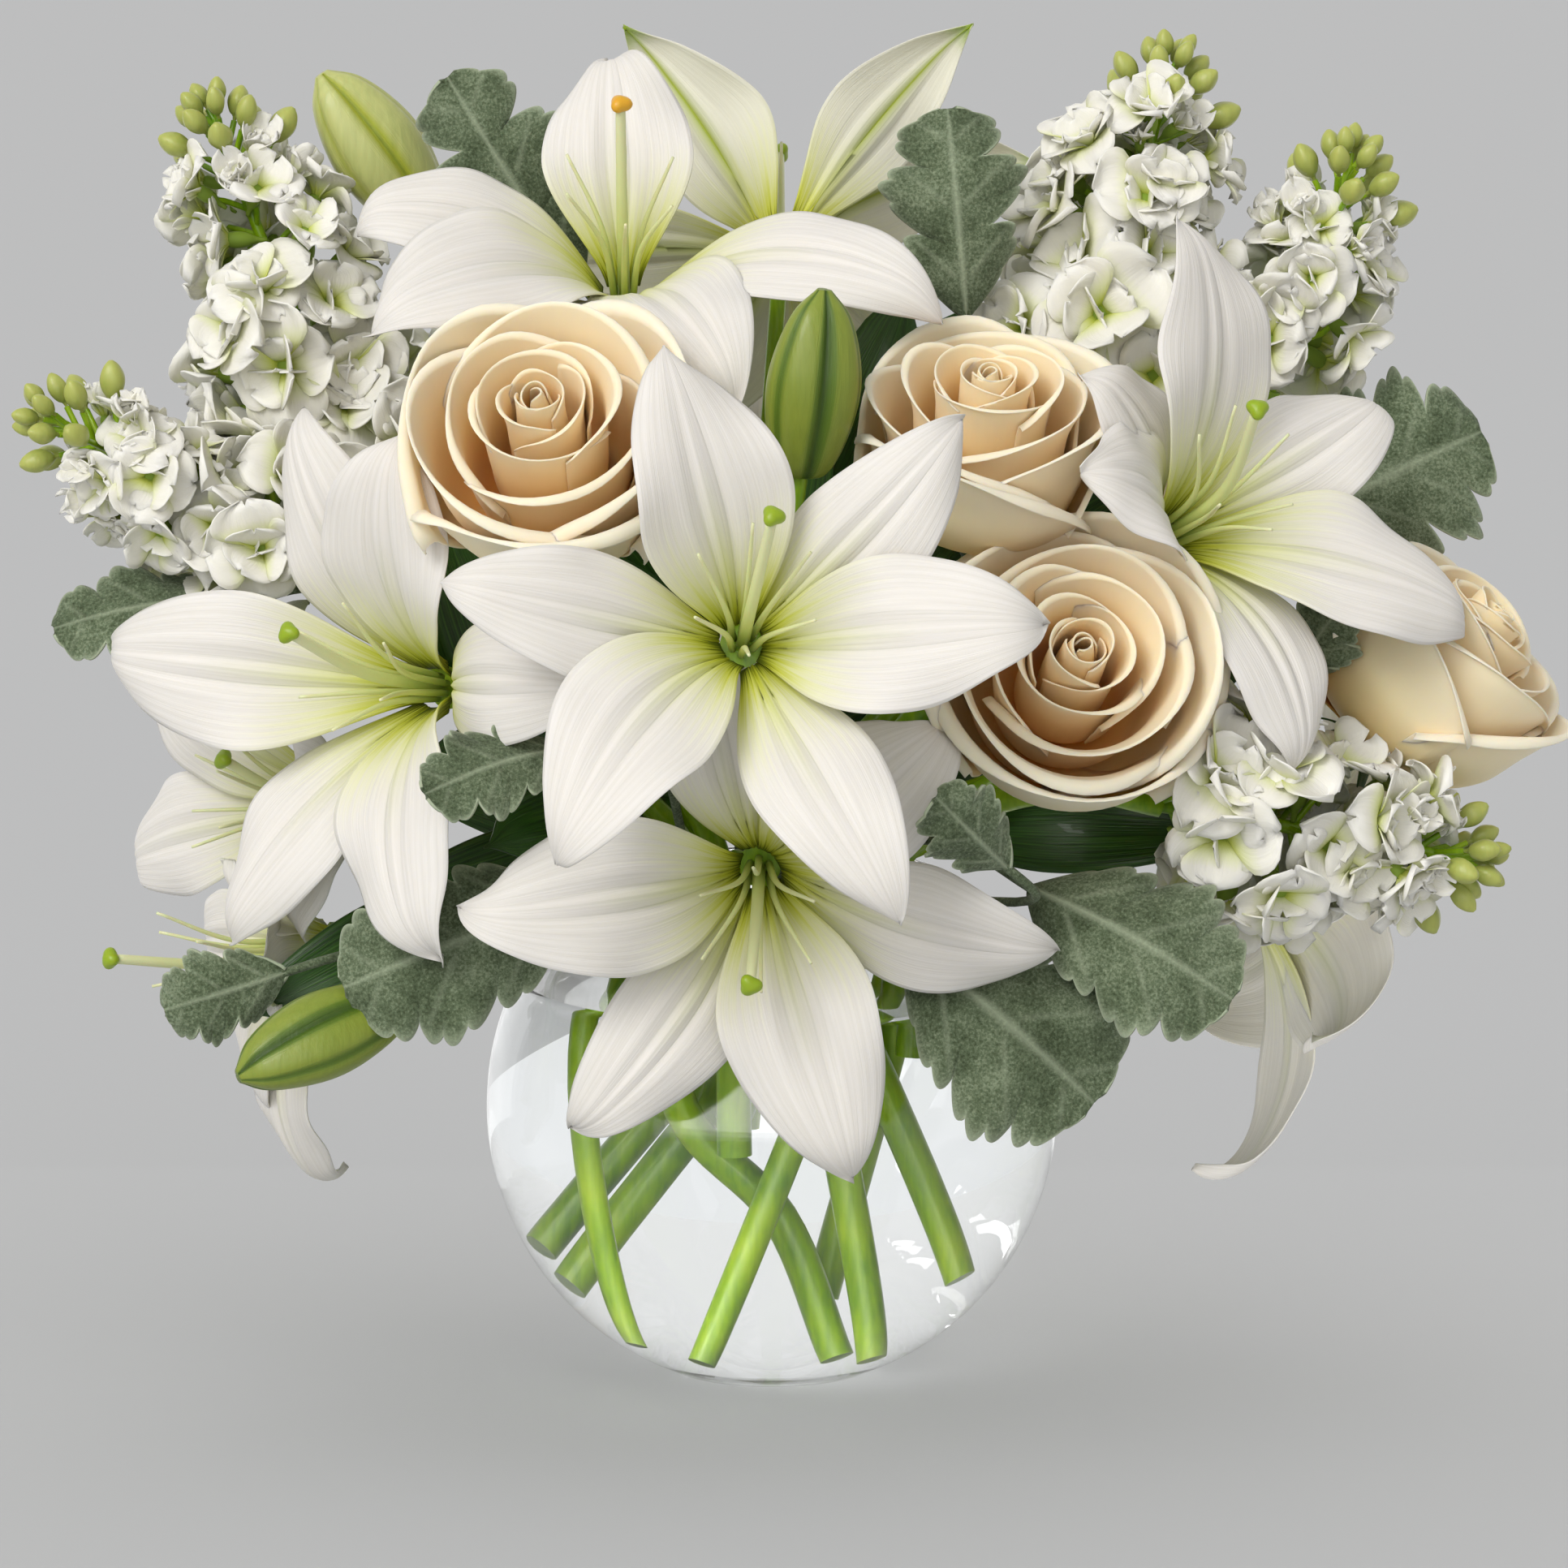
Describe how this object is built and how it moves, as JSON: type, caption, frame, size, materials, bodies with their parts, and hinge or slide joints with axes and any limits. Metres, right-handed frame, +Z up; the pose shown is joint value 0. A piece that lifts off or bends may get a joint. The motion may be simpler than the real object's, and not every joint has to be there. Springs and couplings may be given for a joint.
{
  "type": "lilies in a vase",
  "caption": "Hand-tied bouquet of white lilies with cream roses, white stock and silver-grey leaves, standing in water in a round clear glass bowl vase.",
  "frame": {"origin": "centre of the underside of the bowl's flat foot, on the surface that the bowl stands on", "axes": "+Z up along the bowl's axis, -Y towards the front of the bouquet, +X to the right seen from the front"},
  "size_m": [0.3934, 0.3, 0.3518],
  "materials": {
    "lily_petal": "waxy white petal, pale green towards the throat",
    "rose_petal": "velvety cream petal, peach in the folds",
    "stock_petal": "soft white ruffled petal",
    "stem": "smooth fresh green stem, leaf and bud",
    "foliage": "felted silver-grey leaf",
    "glass": "clear blown glass",
    "water": "clear water"
  },
  "bodies": {
    "root": {"bowl": "glass", "dusty_sprig_frontLeft": "foliage", "dusty_sprig_frontRight": "foliage", "dusty_sprig_left": "foliage", "dusty_sprig_right": "foliage", "dusty_sprig_top": "foliage", "lily_back": "lily_petal", "lily_centre": "lily_petal", "lily_crown": "lily_petal", "lily_left": "lily_petal", "lily_leftLow": "lily_petal", "lily_leftSide": "lily_petal", "lily_low": "lily_petal", "lily_right": "lily_petal", "lily_rightLow": "lily_petal", "lily_stem_back": "stem", "lily_stem_centre": "stem", "lily_stem_crown": "stem", "lily_stem_left": "stem", "lily_stem_low": "stem", "lily_stem_right": "stem", "lily_upper": "lily_petal", "rose_backLeft": "rose_petal", "rose_backRight": "rose_petal", "rose_front": "rose_petal", "rose_left": "rose_petal", "rose_right": "rose_petal", "rose_side": "rose_petal", "rose_stem_backLeft": "stem", "rose_stem_backRight": "stem", "rose_stem_front": "stem", "rose_stem_left": "stem", "rose_stem_right": "stem", "rose_stem_side": "stem", "stock_farLeft": "stock_petal", "stock_farRight": "stock_petal", "stock_lowerRight": "stock_petal", "stock_stem_farLeft": "stem", "stock_stem_farRight": "stem", "stock_stem_lowerRight": "stem", "stock_stem_upperLeft": "stem", "stock_stem_upperRight": "stem", "stock_upperLeft": "stock_petal", "stock_upperRight": "stock_petal", "water": "water"}
  },
  "joints": []
}
